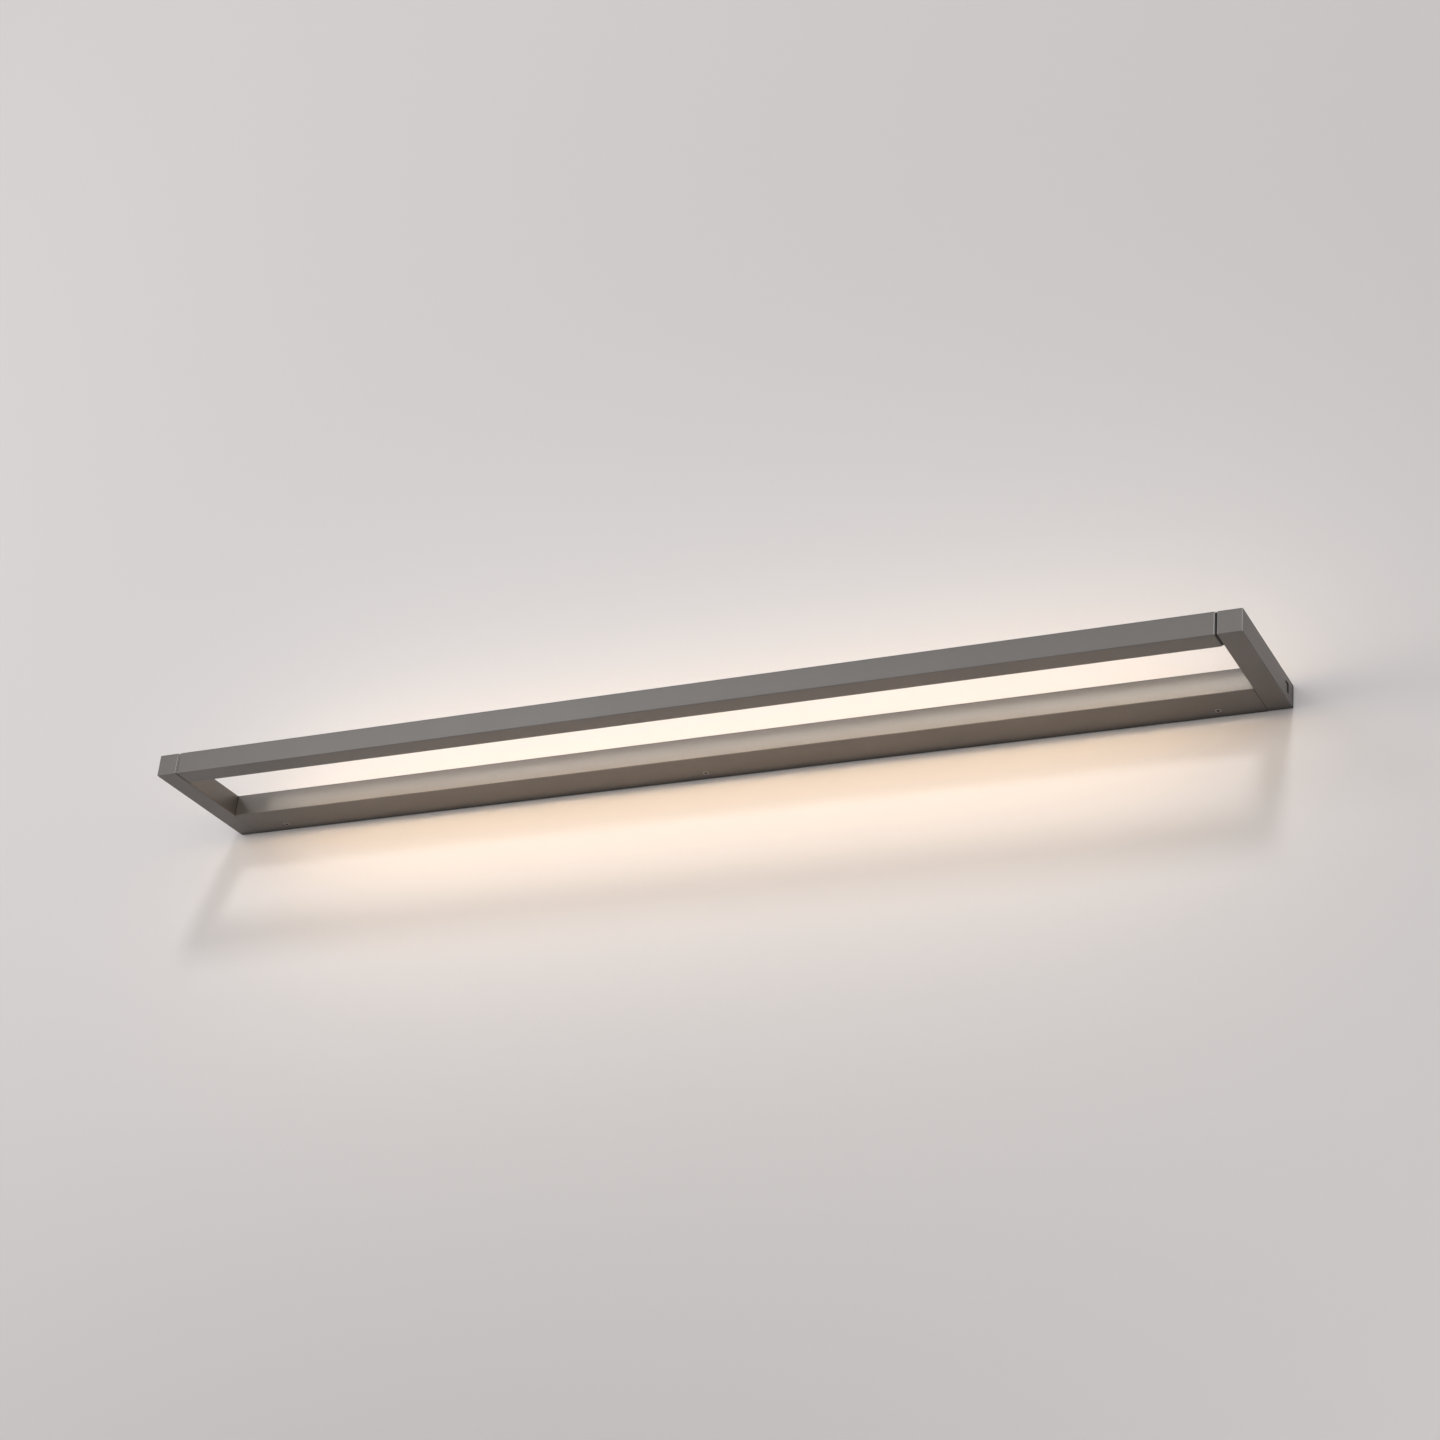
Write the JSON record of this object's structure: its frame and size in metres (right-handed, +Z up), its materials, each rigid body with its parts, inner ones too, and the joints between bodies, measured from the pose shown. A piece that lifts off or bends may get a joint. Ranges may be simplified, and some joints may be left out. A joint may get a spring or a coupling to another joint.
{
  "type": "wall light",
  "caption": "Slim rectangular wall light: a hollow back bar on a hidden bracket, square arms, and a light bar with an opal cover that turns about its long axis between the arms.",
  "frame": {"origin": "middle of the face that lies on the wall", "axes": "+X along the wall and the light's length, +Y into the wall, +Z up; the light stands out from the wall along -Y"},
  "size_m": [1.2, 0.16, 0.024],
  "materials": {
    "taupe_powder_coat": "satin",
    "mill_aluminium": "satin",
    "zinc_steel": "satin",
    "black_steel": "satin",
    "bronze": "satin",
    "tinned_brass": "satin",
    "black_rubber": "matte",
    "opal_acrylic": "satin",
    "white_plastic": "satin",
    "circuit_board": "satin",
    "lead_sheath": "satin",
    "brown_insulation": "satin",
    "blue_insulation": "satin",
    "green_insulation": "satin"
  },
  "bodies": {
    "frame": {"wall_bracket": "mill_aluminium", "cable_grommet": "black_rubber", "back_housing": "taupe_powder_coat", "left_housing_screw": "taupe_powder_coat", "middle_housing_screw": "taupe_powder_coat", "right_housing_screw": "taupe_powder_coat", "left_arm": "taupe_powder_coat", "right_arm": "taupe_powder_coat", "left_corner_block": "mill_aluminium", "right_corner_block": "mill_aluminium", "left_screw_cover": "taupe_powder_coat", "right_screw_cover": "taupe_powder_coat", "left_arm_screw": "zinc_steel", "right_arm_screw": "zinc_steel", "left_front_locating_pin": "zinc_steel", "right_front_locating_pin": "zinc_steel", "left_rear_locating_pin": "zinc_steel", "right_rear_locating_pin": "zinc_steel", "left_corner_block_screw": "zinc_steel", "right_corner_block_screw": "zinc_steel", "left_pivot_pin": "zinc_steel", "right_pivot_pin": "zinc_steel", "left_pin_lock_screw": "black_steel", "right_pin_lock_screw": "black_steel", "led_driver": "white_plastic", "terminal_block": "white_plastic", "left_driver_screw": "zinc_steel", "right_driver_screw": "zinc_steel", "left_terminal_block_screw": "zinc_steel", "right_terminal_block_screw": "zinc_steel", "live_lead": "brown_insulation", "neutral_lead": "blue_insulation", "earth_lead": "green_insulation", "earth_tag": "tinned_brass", "earth_screw": "zinc_steel", "driver_lead": "lead_sheath", "lead_collar": "black_rubber"},
    "light_bar": {"bar_housing": "taupe_powder_coat", "left_end_plug": "mill_aluminium", "right_end_plug": "mill_aluminium", "left_lower_end_plug_screw": "zinc_steel", "left_upper_end_plug_screw": "zinc_steel", "right_lower_end_plug_screw": "zinc_steel", "right_upper_end_plug_screw": "zinc_steel", "left_pivot_bush": "bronze", "right_pivot_bush": "bronze", "left_friction_ring": "black_rubber", "right_friction_ring": "black_rubber", "diffuser": "opal_acrylic", "left_led_board": "circuit_board", "right_led_board": "circuit_board", "board_link": "white_plastic", "bar_lead": "lead_sheath"}
  },
  "joints": [
    {"name": "light_bar_turn", "type": "hinge", "parent": "frame", "child": "light_bar", "pos_m": [0, -0.148, 0], "axis": [1, 0, 0], "range_deg": [-160, 160]}
  ]
}
